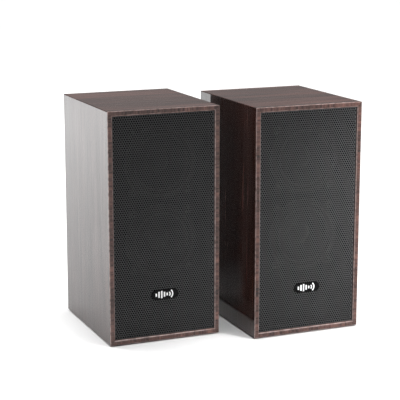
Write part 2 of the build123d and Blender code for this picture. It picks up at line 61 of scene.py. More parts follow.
# ---- camera ---------------------------------------------------------------
# The camera stands at this offset from the left cabinet's front, bottom, left corner.
CAMERA_OFFSET = Vector((-0.35397, -1.03462, 0.36094))
CAMERA_YAW = -0.398735
CAMERA_PITCH = -0.211609
CAMERA_LENS_MM = 121.59


def make_camera():
    data = bpy.data.cameras.new("camera")
    data.lens = CAMERA_LENS_MM
    data.sensor_width = 36.0
    data.clip_start = 0.05
    data.clip_end = 60.0
    camera = bpy.data.objects.new("camera", data)
    camera.location = Vector(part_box("left_cabinet_sleeve")[0]) + CAMERA_OFFSET
    camera.rotation_euler = (math.pi / 2 + CAMERA_PITCH, 0.0, CAMERA_YAW)
    bpy.context.collection.objects.link(camera)
    bpy.context.scene.camera = camera


# ---- materials ------------------------------------------------------------
VENEER_DARK = (0.036, 0.0165, 0.0130)
VENEER_LIGHT = (0.118, 0.055, 0.045)
VENEER_FLECK = (0.14, 0.074, 0.062)
# painted highlight on the front edges of the wrap
VENEER_EDGE_HIGHLIGHT = (0.38, 0.275, 0.255)
# painted shade on the upright boards and painted light on the level ones: what the tones are multiplied by
# on each
VENEER_SIDE_SHADE = (0.38, 0.30, 0.28)
VENEER_LEVEL_LIGHT = (1.18, 0.97, 0.92)
# a highlight is painted on the wrap at the front within the one distance of its outside, and beyond the
# other
HIGHLIGHT_OUTER = 0.45 * MM
HIGHLIGHT_INNER = 3.4 * MM
# the edges that show at the front reach this far back
FRONT_EDGE_DEPTH = 1.0 * MM
# the print changes this much slower along the grain than across it
LONG_GRAIN = 0.035
SHORT_GRAIN = 0.12


class Finish:
    """One material under construction: a Principled shader and the nodes that feed it."""

    def __init__(self, name, **sockets):
        self.material = bpy.data.materials.new(name)
        self.material.use_nodes = True
        self.tree = self.material.node_tree
        self.shader = self.tree.nodes["Principled BSDF"]
        for socket, value in sockets.items():
            self.shader.inputs[socket.replace("_", " ")].default_value = value
        self.here = self.node("ShaderNodeTexCoord").outputs["Object"]

    def node(self, kind, **settings):
        made = self.tree.nodes.new(kind)
        for name, value in settings.items():
            setattr(made, name, value)
        return made

    def plug(self, value, socket):
        """Links an output into a socket, or sets a plain value on it."""
        if isinstance(value, bpy.types.NodeSocket):
            self.tree.links.new(value, socket)
        else:
            socket.default_value = value

    def stretched(self, scale, source=None):
        mapping = self.node("ShaderNodeMapping")
        self.plug(source or self.here, mapping.inputs["Vector"])
        mapping.inputs["Scale"].default_value = scale
        return mapping.outputs["Vector"]

    def noise(self, scale, detail=2.0, roughness=0.5, source=None, distortion=0.0):
        """Noise with a scale per axis, in cycles per metre."""
        texture = self.node("ShaderNodeTexNoise")
        self.plug(self.stretched(scale, source), texture.inputs["Vector"])
        texture.inputs["Scale"].default_value = 1.0
        texture.inputs["Detail"].default_value = detail
        texture.inputs["Roughness"].default_value = roughness
        texture.inputs["Distortion"].default_value = distortion
        return texture.outputs["Fac"]

    def ramp(self, value, *stops):
        """Colours, or greys given as one number, along a value."""
        ramp = self.node("ShaderNodeValToRGB")
        self.plug(value, ramp.inputs["Fac"])
        elements = ramp.color_ramp.elements
        while len(elements) < len(stops):
            elements.new(0.5)
        for element, (position, colour) in zip(elements, stops):
            element.position = position
            grey = isinstance(colour, float)
            element.color = (colour,) * 3 + (1.0,) if grey else (*colour, 1.0)
        return ramp.outputs["Color"]

    def maths(self, operation, a, b=0.0):
        step = self.node("ShaderNodeMath", operation=operation)
        self.plug(a, step.inputs[0])
        self.plug(b, step.inputs[1])
        return step.outputs[0]

    def blend_colour(self, factor, a, b, mode="MIX"):
        mix = self.node("ShaderNodeMix", data_type="RGBA", blend_type=mode)
        self.plug(factor, mix.inputs["Factor"])
        self.plug(a if not isinstance(a, tuple) else (*a, 1.0), mix.inputs["A"])
        self.plug(b if not isinstance(b, tuple) else (*b, 1.0), mix.inputs["B"])
        return mix.outputs["Result"]

    def blend_vector(self, factor, a, b):
        # the node's sockets for vectors share their names with its other ones, so they go by number
        mix = self.node("ShaderNodeMix", data_type="VECTOR")
        self.plug(factor, mix.inputs["Factor"])
        self.plug(a, mix.inputs[4])
        self.plug(b, mix.inputs[5])
        return mix.outputs[1]

    def axes(self):
        split = self.node("ShaderNodeSeparateXYZ")
        self.plug(self.here, split.inputs[0])
        return split.outputs

    def colour(self, value):
        self.plug(value, self.shader.inputs["Base Color"])

    def rough(self, value):
        self.plug(value, self.shader.inputs["Roughness"])

    def bump(self, height, strength, distance, coat=False):
        bump = self.node("ShaderNodeBump")
        self.plug(height, bump.inputs["Height"])
        bump.inputs["Strength"].default_value = strength
        bump.inputs["Distance"].default_value = distance
        self.plug(bump.outputs["Normal"], self.shader.inputs["Normal"])
        if coat:
            self.plug(bump.outputs["Normal"], self.shader.inputs["Coat Normal"])


def veneer(side):
    """Dark walnut-look wrap under a clear coat.

    The grain runs round the sleeve, and turns at the mitres.
    """
    finish = Finish(f"veneer_{side}", Coat_Roughness=0.04, Coat_IOR=1.5, Specular_IOR_Level=0.02)
    low, high = (Vector(c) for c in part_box(f"{side}_cabinet_sleeve"))
    middle, half = (low + high) / 2, (high - low) / 2
    axes = finish.axes()
    sideways = finish.maths("ABSOLUTE", finish.maths("SUBTRACT", axes[0], middle.x))
    upwards = finish.maths("ABSOLUTE", finish.maths("SUBTRACT", axes[2], middle.z))
    from_side = finish.maths("SUBTRACT", half.x, sideways)
    from_top = finish.maths("SUBTRACT", half.z, upwards)
    lies_flat = finish.maths("GREATER_THAN", from_side, from_top)
    front = finish.maths("LESS_THAN", axes[1], low.y + FRONT_EDGE_DEPTH)
    # the print's grain runs along the panels, and across the narrow edges that show at the front
    level_grain = finish.maths("ABSOLUTE", finish.maths("SUBTRACT", lies_flat, front))
    along, short = (finish.blend_vector(level_grain, finish.stretched((1.0, 1.0, slow)),
                                        finish.stretched((slow, 1.0, 1.0)))
                    for slow in (LONG_GRAIN, SHORT_GRAIN))

    broad = finish.noise((60, 60, 60), detail=3, source=along, distortion=0.8)
    streaks = finish.noise((430, 430, 430), detail=4, roughness=0.6, source=along, distortion=0.3)
    pores = finish.noise((1500, 1500, 1500), detail=2, source=short)
    tone = finish.ramp(broad, (0.32, VENEER_DARK), (0.66, VENEER_LIGHT))
    tone = finish.blend_colour(1.0, tone, finish.ramp(streaks, (0.34, 0.28), (0.66, 1.6)), "MULTIPLY")
    tone = finish.blend_colour(finish.ramp(pores, (0.55, 0.0), (0.70, 0.5)), tone, VENEER_FLECK)

    # short dark ticks across the print, as on a rift-cut board
    ticks = finish.noise((2600, 2600, 2600), detail=1, source=short)
    tone = finish.blend_colour(finish.ramp(ticks, (0.60, 0.0), (0.72, 0.5)), tone, VENEER_DARK)

    # painted shade darkens the two upright boards of the wrap, and painted light lightens and warms the top
    # and the bottom
    behind = finish.maths("SUBTRACT", 1.0, front)
    level = finish.maths("MULTIPLY", behind, lies_flat)
    upright = finish.maths("SUBTRACT", behind, level)
    tone = finish.blend_colour(upright, tone, VENEER_SIDE_SHADE, "MULTIPLY")
    tone = finish.blend_colour(level, tone, VENEER_LEVEL_LIGHT, "MULTIPLY")

    # painted highlight: the wrap is lightened in patches where it is folded over an edge at the front, on
    # the rounded outer edge and on the inner chamfer
    from_edge = finish.maths("MINIMUM", from_side, from_top)
    at_inner = finish.maths("MULTIPLY", finish.maths("GREATER_THAN", from_edge, HIGHLIGHT_INNER), 0.8)
    at_outer = finish.maths("MULTIPLY", finish.maths("LESS_THAN", from_edge, HIGHLIGHT_OUTER), 0.9)
    patchy = finish.ramp(finish.noise((300, 300, 300), detail=2), (0.35, 0.35), (0.6, 1.0))
    edge_highlight = finish.maths("MULTIPLY", front, finish.maths("MAXIMUM", at_inner, at_outer))
    tone = finish.blend_colour(finish.maths("MULTIPLY", edge_highlight, patchy), tone, VENEER_EDGE_HIGHLIGHT)
    finish.colour(tone)
    finish.rough(finish.ramp(streaks, (0.3, 0.5), (0.7, 0.38)))
    finish.plug(finish.ramp(streaks, (0.34, 0.86), (0.66, 1.0)), finish.shader.inputs["Coat Weight"])
    streak_height = finish.maths("MULTIPLY", streaks, 0.7)
    pore_height = finish.maths("MULTIPLY", pores, 0.3)
    finish.bump(finish.maths("ADD", streak_height, pore_height), 0.05, 0.1 * MM, coat=True)
    return finish.material


def moulded(name, tone, roughness, grain=2600.0, strength=0.12, coat=0.0, lighter=1.5, specular=0.5):
    """Moulded plastic or paint: a fine spark-eroded texture and a slow change of tone."""
    finish = Finish(name, Coat_Weight=coat, Coat_Roughness=0.08, Specular_IOR_Level=specular)
    slow = finish.noise((60, 60, 60), detail=3)
    light = tuple(min(1.0, c * lighter) for c in tone)
    finish.colour(finish.ramp(slow, (0.35, tone), (0.65, light)))
    fine = finish.noise((grain, grain, grain), detail=2)
    finish.rough(finish.ramp(fine, (0.3, roughness - 0.06), (0.7, roughness + 0.06)))
    finish.bump(fine, strength, 0.05 * MM)
    return finish.material


def brushed(name, tone, roughness, axis_scale):
    """Metal with fine lines, long on the axis where the scale is small."""
    finish = Finish(name, Metallic=1.0)
    lines = finish.noise(axis_scale, detail=4, roughness=0.65)
    dark = tuple(c * 0.8 for c in tone)
    finish.colour(finish.ramp(lines, (0.3, dark), (0.7, tone)))
    finish.rough(finish.ramp(lines, (0.3, roughness - 0.08), (0.7, roughness + 0.08)))
    finish.bump(lines, 0.15, 0.03 * MM)
    return finish.material


def paper_pulp():
    """Black felted paper."""
    finish = Finish("paper_pulp", Specular_IOR_Level=0.12)
    fibres = finish.noise((900, 900, 900), detail=5, roughness=0.7, distortion=1.5)
    finish.colour(finish.ramp(fibres, (0.3, (0.003, 0.003, 0.003)), (0.7, (0.008, 0.008, 0.008))))
    finish.rough(finish.ramp(fibres, (0.3, 0.75), (0.7, 0.6)))
    finish.bump(fibres, 0.35, 0.1 * MM)
    return finish.material


def spider_cloth():
    """Resin-stiffened woven cloth."""
    finish = Finish("spider_cloth")
    weave = finish.node("ShaderNodeTexChecker")
    finish.plug(finish.here, weave.inputs["Vector"])
    weave.inputs["Scale"].default_value = 2500.0
    resin_dark, resin_light = (0.42, 0.25, 0.08), (0.62, 0.42, 0.18)
    finish.colour(finish.ramp(weave.outputs["Fac"], (0.0, resin_dark), (1.0, resin_light)))
    finish.rough(0.7)
    finish.bump(weave.outputs["Fac"], 0.4, 0.05 * MM)
    return finish.material


def floor_white():
    """Matt white board."""
    finish = Finish("floor_white", Roughness=0.9, Specular_IOR_Level=0.0)
    slow = finish.noise((3, 3, 3), detail=1)
    finish.colour(finish.ramp(slow, (0.0, 0.92), (1.0, 0.94)))
    return finish.material


# ---- meshes ---------------------------------------------------------------
def mesh_piece(name, points, faces, material, smooth_degrees=None):
    mesh = bpy.data.meshes.new(name)
    mesh.from_pydata([tuple(p) for p in points], [], [tuple(f) for f in faces])
    mesh.validate()
    mesh.materials.append(material)
    if smooth_degrees is not None:
        mesh.shade_smooth()
        mesh.set_sharp_from_angle(angle=math.radians(smooth_degrees))
    piece = bpy.data.objects.new(name, mesh)
    bpy.context.collection.objects.link(piece)
    return piece


HOLE_PITCH = 2.11 * MM
HOLE_RADIUS = 0.8 * MM
HOLE_CORNERS = 9
HOLE_EDGE_MARGIN = 0.95 * MM
# the holes' corners are turned by this share of the angle between two of them
HOLE_TURN = 0.25
GRILLE_CORNER = 0.8 * MM
GRILLE_CORNER_STEPS = 3


def hole_centres(width, height):
    """Staggered rows of holes, centred on a sheet, as (x, z) about its middle."""
    row_gap = HOLE_PITCH * math.sqrt(3) / 2
    rows = int((height - 2 * HOLE_EDGE_MARGIN) / row_gap) + 1
    across = width - 2 * HOLE_EDGE_MARGIN
    centres = []
    for row in range(rows):
        z = (row - (rows - 1) / 2) * row_gap
        full = int(across / HOLE_PITCH) + 1
        count = full if row % 2 == 0 else full - 1
        centres += [((k - (count - 1) / 2) * HOLE_PITCH, z) for k in range(count)]
    return np.array(centres)


def perforated_sheet(width, height, corner):
    """One face of the sheet about its middle: its points, its triangles and its rims.

    The outline's rim comes first, then one for each hole, as lists of point numbers.
    """
    centres = hole_centres(width, height)
    turns = (np.arange(HOLE_CORNERS) + HOLE_TURN) * 2 * math.pi / HOLE_CORNERS
    ring = HOLE_RADIUS * np.column_stack((np.cos(turns), np.sin(turns)))
    outer = []
    for sx, sz, start in ((1, 1, 0.0), (-1, 1, 0.5), (-1, -1, 1.0), (1, -1, 1.5)):
        for step in range(GRILLE_CORNER_STEPS + 1):
            angle = math.pi * (start + step / (2 * GRILLE_CORNER_STEPS))
            outer.append((sx * (width / 2 - corner) + corner * math.cos(angle),
                          sz * (height / 2 - corner) + corner * math.sin(angle)))
    points = np.vstack([outer, (centres[:, None, :] + ring[None, :, :]).reshape(-1, 2)])
    rims = [list(range(len(outer)))]
    first = len(outer) + HOLE_CORNERS * np.arange(len(centres))
    rims += [list(range(start, start + HOLE_CORNERS)) for start in first]
    edges = [(rim[k], rim[(k + 1) % len(rim)]) for rim in rims for k in range(len(rim))]
    in_mm = [Vector(p) for p in points / MM]
    faces = np.array(delaunay_2d_cdt(in_mm, edges, [], 0, 1e-6)[2])
    # a triangle whose three corners are on one hole's rim fills that hole
    rim_of = np.concatenate([[-1] * len(outer), np.repeat(np.arange(len(centres)), HOLE_CORNERS)])
    corners = rim_of[faces]
    fills = (corners[:, 0] >= 0) & (corners[:, 0] == corners[:, 1]) & (corners[:, 1] == corners[:, 2])
    return points, faces[~fills], rims


def make_grilles():
    """The two perforated sheets. Both are one shape, at two places."""
    # the sheet's dark grey is partly the paint's own tone and partly a painted sheen, with the specular
    # kept low
    paint = moulded("grille_paint", (0.060, 0.060, 0.061), 0.55,
                    grain=1800, strength=0.1, lighter=1.1, specular=0.06)
    # painted shade: the walls of the holes get a near-black colour, as if they lay in shade
    hole_wall_shade = moulded("grille_hole_wall_shade", (0.006, 0.006, 0.006), 0.7, grain=1800, specular=0.06)
    low, high = (Vector(c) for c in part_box("left_grille"))
    flat, faces, rims = perforated_sheet(high.x - low.x, high.z - low.z, GRILLE_CORNER)
    count = len(flat)
    polygons = [tuple(f) for f in faces]
    polygons += [tuple(count + k for k in reversed(f)) for f in faces]
    flats = len(polygons)
    for rim in rims:
        polygons += [(b, a, count + a, count + b) for a, b in zip(rim, rim[1:] + rim[:1])]
    is_edge = np.arange(len(polygons)) >= flats
    for side in SIDES:
        low, high = (Vector(c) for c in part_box(f"{side}_grille"))
        middle = (low + high) / 2
        front = np.column_stack((flat[:, 0] + middle.x, np.full(count, low.y), flat[:, 1] + middle.z))
        back = front + np.array((0.0, high.y - low.y, 0.0))
        piece = mesh_piece(f"{side}_perforated_grille", np.vstack((front, back)), polygons, paint)
        piece.data.materials.append(hole_wall_shade)
        piece.data.polygons.foreach_set("material_index", is_edge.astype(np.int32))
        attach(piece, f"{side}_cabinet")
        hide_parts(f"{side}_grille")


# ---- small shapes, drawn in a cabinet's own millimetres -------------------
# X runs across, Y from front to back and Z up, from the front, bottom, left corner of the sleeve.
CABINET_MIDDLE = 50.0
LATHE_STEPS = 96
PRINT_THICKNESS = 0.03


def placed(side, points):
    """Points in a cabinet's own millimetres, as points in the frame."""
    corner = Vector(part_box(f"{side}_cabinet_sleeve")[0])
    return [corner + Vector(p) * MM for p in points]


def lathe(profile, x, z):
    """(points, faces) of a closed (radius, y) profile turned about Y."""
    points, faces, count = [], [], len(profile)
    for step in range(LATHE_STEPS):
        turn = 2 * math.pi * step / LATHE_STEPS
        points += [(x + r * math.cos(turn), y, z + r * math.sin(turn)) for r, y in profile]
        here, there = step * count, (step + 1) % LATHE_STEPS * count
        for k in range(count):
            after = (k + 1) % count
            faces.append((here + k, here + after, there + after, there + k))
    return points, faces


def stacked(loops):
    """(points, faces) of a closed form through loops that have the same number of points."""
    count = len(loops[0])
    points = [p for loop in loops for p in loop]
    faces = [tuple(reversed(range(count)))]
    for level in range(len(loops) - 1):
        first = level * count
        for k in range(count):
            after = (k + 1) % count
            faces.append((first + k, first + after, first + count + after, first + count + k))
    faces.append(tuple(range(len(points) - count, len(points))))
    return points, faces


def prism(outline, back, front):
    """A plate between two depths, from an outline drawn as (x, z)."""
    return stacked([[(x, y, z) for x, z in outline] for y in (back, front)])


def bar(x, z, width, height, turn=0.0):
    """The outline of an upright bar, turned by an angle from the vertical about its own centre."""
    c, s = math.cos(turn), math.sin(turn)
    right, top = width / 2, height / 2
    corners = ((-right, -top), (right, -top), (right, top), (-right, top))
    return [(x + u * c + v * s, z - u * s + v * c) for u, v in corners]


def band(x, z, radii, widths, start, end, steps=24):
    """The outline of a curved stroke. Its angles run clockwise from the top, as seen from the front.

    The radius and the width each have a first and a last value, and change evenly between them.
    """
    outer, inner = [], []
    for step in range(steps + 1):
        share = step / steps
        angle = start + (end - start) * share
        half = (widths[0] + (widths[1] - widths[0]) * share) / 2
        radius = radii[0] + (radii[1] - radii[0]) * share
        outer.append((x + (radius + half) * math.sin(angle), z + (radius + half) * math.cos(angle)))
        inner.append((x + (radius - half) * math.sin(angle), z + (radius - half) * math.cos(angle)))
    return outer + inner[::-1]


def joined(parts):
    """One (points, faces) from several."""
    points, faces = [], []
    for part_points, part_faces in parts:
        faces += [tuple(len(points) + k for k in face) for face in part_faces]
        points += part_points
    return points, faces


def facing_out(piece):
    """Turns every face of a closed piece outwards."""
    mesh = bmesh.new()
    mesh.from_mesh(piece.data)
    bmesh.ops.recalc_face_normals(mesh, faces=mesh.faces)
    mesh.to_mesh(piece.data)
    mesh.free()
    return piece


def cabinet_piece(side, name, shape, material, smooth_degrees=None):
    points, faces = shape
    return facing_out(mesh_piece(name, placed(side, points), faces, material, smooth_degrees))


# ---- badge ----------------------------------------------------------------
BADGE_MIDDLE = (CABINET_MIDDLE, 40.0)
BADGE_STRAIGHT = 8.0
BADGE_RADIUS = 4.25
BADGE_ARC_STEPS = 16
BADGE_FACE = 0.92
# the section from the badge's back to its face, as (inset from the outline, y)
BADGE_SECTION = ((0.0, 1.7), (0.0, 1.05), (0.05, 0.87), (0.2, 0.74), (0.38, 0.7), (0.62, 0.7),
                 (0.74, 0.78), (0.8, BADGE_FACE))
# the emblem: the bars' heights, the waves' radii, and how far left of the badge's middle it starts
EMBLEM_BARS = (2.8, 5.2, 6.4, 4.2, 2.4)
EMBLEM_BAR_WIDTH = 1.25
EMBLEM_PITCH = 2.5
EMBLEM_START = 8.1
EMBLEM_WAVES = (2.1, 4.4)
EMBLEM_WAVE_WIDTH = 1.05
# the waves' centre lies this far left of where a further bar would stand
EMBLEM_WAVES_BACK = 1.9
# the emblem is sunk a little into the badge's face, and stands proud of it
EMBLEM_BACK = BADGE_FACE + 0.01
EMBLEM_FACE = BADGE_FACE - 0.13


def pill(inset, y):
    """A stadium loop, this far inside the badge's outline."""
    x, z = BADGE_MIDDLE
    radius = BADGE_RADIUS - inset
    loop = []
    for side, start in ((1, 0.0), (-1, math.pi)):
        end_x = x + side * BADGE_STRAIGHT
        for step in range(BADGE_ARC_STEPS + 1):
            angle = start + math.pi * step / BADGE_ARC_STEPS
            loop.append((end_x + radius * math.sin(angle), y, z + radius * math.cos(angle)))
    return loop


def emblem():
    """A row of level bars, and two sound waves to its right."""
    first, z = BADGE_MIDDLE[0] - EMBLEM_START, BADGE_MIDDLE[1]
    outlines = [bar(first + EMBLEM_PITCH * place, z, EMBLEM_BAR_WIDTH, height)
                for place, height in enumerate(EMBLEM_BARS)]
    waves_x = first + EMBLEM_PITCH * len(EMBLEM_BARS) - EMBLEM_WAVES_BACK
    for radius in EMBLEM_WAVES:
        outlines.append(band(waves_x, z, (radius, radius), (EMBLEM_WAVE_WIDTH, EMBLEM_WAVE_WIDTH),
                             math.radians(42), math.radians(138), steps=12))
    return joined([prism(outline, EMBLEM_BACK, EMBLEM_FACE) for outline in outlines])


def make_badges():
    """A glossy pill with a raised rim on each grille, and the emblem on it."""
    gloss = moulded("badge_gloss", (0.002, 0.002, 0.0021), 0.14, grain=500, strength=0.02, specular=0.1)
    white = moulded("emblem_white", (0.93, 0.93, 0.93), 0.35, grain=900, strength=0.05, lighter=1.03)
    body = stacked([pill(inset, y) for inset, y in BADGE_SECTION])
    marks = emblem()
    for side in SIDES:
        badge = cabinet_piece(side, f"{side}_badge_pill", body, gloss, 35)
        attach(badge, f"{side}_cabinet")
        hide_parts(f"{side}_badge")
        raised = cabinet_piece(side, f"{side}_badge_emblem", marks, white)
        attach(raised, f"{side}_cabinet")


# ---- the parts of the drivers that flex -----------------------------------
# Sections are drawn as (radius about the driver's axis, y).
DRIVER_ZS = {"upper": 153.0, "lower": 85.0}
ROLL_RADIUS = 26.2
ROLL_Y = 8.5
ROLL_OUTER = 2.4
ROLL_INNER = 1.9
ARC_STEPS = 12
FLANGE_RADIUS = 31.2
FLANGE_BACK = 9.0
FLANGE_CHAMFER = 0.12
LEG_FRONT = 9.2
LIP_RADIUS = 22.6
LIP_FRONT = 9.9
LIP_BACK = 10.35
SPIDER_INNER = 7.95
SPIDER_INNER_Y = 20.95
SPIDER_DISH = 1.0
SPIDER_FLAT_FROM = 16.2
SPIDER_OUTER = 20.0
SPIDER_RIDGES = 4
SPIDER_RIDGE_HEIGHT = 0.36
SPIDER_THICKNESS = 0.35
# a depth in the spider's cloth, just in front of its flat rim
SPIDER_STILL_Y = 21.9


def roll_arc(radius, start, end):
    """Points on the half roll, from one angle to another. Its crest, at 90 degrees, points forward."""
    angles = [math.radians(start + (end - start) * step / ARC_STEPS) for step in range(ARC_STEPS + 1)]
    return [(ROLL_RADIUS + radius * math.cos(a), ROLL_Y - radius * math.sin(a)) for a in angles]


def rim_section():
    """The surround outside its crest, with the flange on the basket."""
    return [(FLANGE_RADIUS, ROLL_Y + FLANGE_CHAMFER), (FLANGE_RADIUS - FLANGE_CHAMFER, ROLL_Y),
            *roll_arc(ROLL_OUTER, 0, 90), *roll_arc(ROLL_INNER, 90, 0),
            (ROLL_RADIUS + ROLL_INNER, FLANGE_BACK), (FLANGE_RADIUS, FLANGE_BACK)]


def roll_section():
    """The surround inside its crest, with the leg and the lip that hold the cone."""
    inner_leg, outer_leg = ROLL_RADIUS - ROLL_OUTER, ROLL_RADIUS - ROLL_INNER
    fillet, chamfer = 0.15, 0.3
    return [*roll_arc(ROLL_OUTER, 90, 180), (inner_leg, LEG_FRONT), (inner_leg, LIP_FRONT - fillet),
            (inner_leg - fillet, LIP_FRONT), (LIP_RADIUS, LIP_FRONT), (LIP_RADIUS, LIP_BACK),
            (outer_leg - chamfer, LIP_BACK), (outer_leg, LIP_BACK - chamfer), (outer_leg, LEG_FRONT),
            *roll_arc(ROLL_INNER, 180, 90)]


def spider_section():
    """Corrugated cloth, dished forward towards the voice coil, with a flat rim on the basket's ledge."""
    steps = 10 * SPIDER_RIDGES
    front = []
    for step in range(steps + 1):
        share = step / steps
        wave = SPIDER_RIDGE_HEIGHT * math.sin(2 * math.pi * SPIDER_RIDGES * share)
        radius = SPIDER_INNER + (SPIDER_FLAT_FROM - SPIDER_INNER) * share
        front.append((radius, SPIDER_INNER_Y + SPIDER_DISH * share - wave))
    front.append((SPIDER_OUTER, SPIDER_INNER_Y + SPIDER_DISH))
    return front + [(radius, y + SPIDER_THICKNESS) for radius, y in reversed(front)]


def turned_piece(side, driver, name, section, material, smooth_degrees):
    """A piece turned about one driver's axis."""
    shape = lathe(section, CABINET_MIDDLE, DRIVER_ZS[driver])
    return cabinet_piece(side, f"{side}_{driver}_{name}", shape, material, smooth_degrees)


def make_suspension(side, driver, rubber, cloth):
    """One driver's rubber surround and cloth spider.

    The surround's rim stays on the cabinet. Its roll and the spider are baked in place in the frame.
    """
    cabinet, cone, z = f"{side}_cabinet", f"{side}_{driver}_diaphragm", DRIVER_ZS[driver]
    rim = turned_piece(side, driver, "surround_rim", rim_section(), rubber, 50)
    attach(rim, cabinet)
    roll = turned_piece(side, driver, "surround_roll", roll_section(), rubber, 50)
    disc = turned_piece(side, driver, "spider_disc", spider_section(), cloth, 60)
    roll_crest_y = ROLL_Y - ROLL_OUTER
    for piece, start_y, end_y in ((roll, roll_crest_y, LIP_BACK), (disc, SPIDER_STILL_Y, SPIDER_INNER_Y)):
        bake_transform(piece)
    for piece, node, name in ((rim, "surround", "surround_rubber"), (roll, "surround", "surround_rubber"),
                              (disc, "spider", "spider_cloth")):
        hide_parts(f"{side}_{driver}_{node}")


def make_suspensions():
    rubber = moulded("surround_rubber", (0.004, 0.004, 0.004), 0.6,
                     grain=1500, strength=0.15, specular=0.15)
    cloth = spider_cloth()
    for side in SIDES:
        for driver in DRIVER_ZS:
            make_suspension(side, driver, rubber, cloth)


# ---- printed marks on the back --------------------------------------------
KNOBS = {"volume": 33.0, "tone": 67.0}
KNOB_Z = 116.0
KNOB_TOP = 130.6
KNOB_TURN_DEGREES = 150
TICK_DEGREES = 30
TICK_INNER = 9.9
POINTER_MIDDLE = 5.1
AMP_PLATE_BACK = 116.2
TERMINAL_FACES = {"left": 116.6, "right": 117.8}
PLUS_X = 32.5
MINUS_X = 67.5
SIGN_Z = 63.5
SIGN_SIZE = 3.4
SIGN_STROKE = 0.7
SWITCH = (68.0, 112.5, 38.0)
SWITCH_TILT = math.radians(-10)
# the rocker's two faces meet in its middle at this height, and rise by one part in this many to its ends
ROCKER_MIDDLE_HEIGHT = 5.6
ROCKER_RISE = 7.6


def scale_marks(x, growing):
    """Ticks over the knob's whole turn, with a wedge for the volume or three small rings for the tone.

    Both grow clockwise as seen from behind, where a user stands, so their angles fall.
    """
    outlines = []
    for degrees in range(-KNOB_TURN_DEGREES, KNOB_TURN_DEGREES + 1, TICK_DEGREES):
        angle = math.radians(degrees)
        long = 1.9 if degrees % KNOB_TURN_DEGREES == 0 else 1.2
        reach = TICK_INNER + long / 2
        middle = (x + reach * math.sin(angle), KNOB_Z + reach * math.cos(angle))
        outlines.append(bar(*middle, 0.32, long, angle))
    if growing:
        radii, widths = (12.6, 12.9), (0.15, 1.0)
        outlines.append(band(x, KNOB_Z, radii, widths, math.radians(140), math.radians(-140), steps=60))
    else:
        reach = 13.0
        for degrees, radius in ((KNOB_TURN_DEGREES, 0.35), (0, 0.35), (-KNOB_TURN_DEGREES, 0.7)):
            angle = math.radians(degrees)
            middle = (x + reach * math.sin(angle), KNOB_Z + reach * math.cos(angle))
            outlines.append(band(*middle, (radius, radius), (0.25, 0.25), 0.0, math.radians(352), steps=20))
    return [prism(outline, AMP_PLATE_BACK, AMP_PLATE_BACK + PRINT_THICKNESS) for outline in outlines]


def rocker_marks():
    """The bar and the ring that mark on and off, on the two faces of the rocker."""
    on_bar = bar(0.0, 4.6, 0.6, 2.8)
    off_ring = band(0.0, -4.4, (1.15, 1.15), (0.5, 0.5), 0.0, math.radians(356))
    points, faces = joined([prism(outline, 0.0, PRINT_THICKNESS) for outline in (on_bar, off_ring)])
    c, s = math.cos(SWITCH_TILT), math.sin(SWITCH_TILT)
    tilted = []
    for x, y, z in points:
        height = ROCKER_MIDDLE_HEIGHT + abs(z) / ROCKER_RISE + y
        tilted.append((SWITCH[0] + x, SWITCH[1] + height * c - z * s, SWITCH[2] + height * s + z * c))
    return tilted, faces


def polarity_signs(face):
    """A plus, as one upright and two arms that end at it, and a minus."""
    arm = (SIGN_SIZE - SIGN_STROKE) / 2
    outlines = [bar(PLUS_X, SIGN_Z, SIGN_STROKE, SIGN_SIZE)]
    outlines += [bar(MINUS_X, SIGN_Z, SIGN_STROKE, SIGN_SIZE, math.pi / 2)]
    for offset in (-(SIGN_STROKE + arm) / 2, (SIGN_STROKE + arm) / 2):
        outlines.append(bar(PLUS_X + offset, SIGN_Z, SIGN_STROKE, arm, math.pi / 2))
    return joined([prism(outline, face, face + PRINT_THICKNESS) for outline in outlines])


def make_marks():
    """White print round the knobs, at the wire holes, on the rocker and in the knobs' pointer grooves."""
    ink = moulded("white_print", (0.7, 0.7, 0.7), 0.5, grain=1200, strength=0.05, lighter=1.1)
    scales = joined(scale_marks(KNOBS["volume"], growing=True) + scale_marks(KNOBS["tone"], growing=False))
    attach(cabinet_piece("right", "right_control_scales", scales, ink), "right_cabinet")
    for side, face in TERMINAL_FACES.items():
        signs = cabinet_piece(side, f"{side}_polarity_signs", polarity_signs(face), ink)
        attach(signs, f"{side}_cabinet")
    for name, x in KNOBS.items():
        line = prism(bar(x, KNOB_Z + POINTER_MIDDLE, 0.76, 5.0), KNOB_TOP - 0.5, KNOB_TOP - 0.2)
        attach(cabinet_piece("right", f"{name}_pointer", line, ink), f"{name}_knob")
    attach(cabinet_piece("right", "rocker_signs", rocker_marks(), ink), "power_rocker")


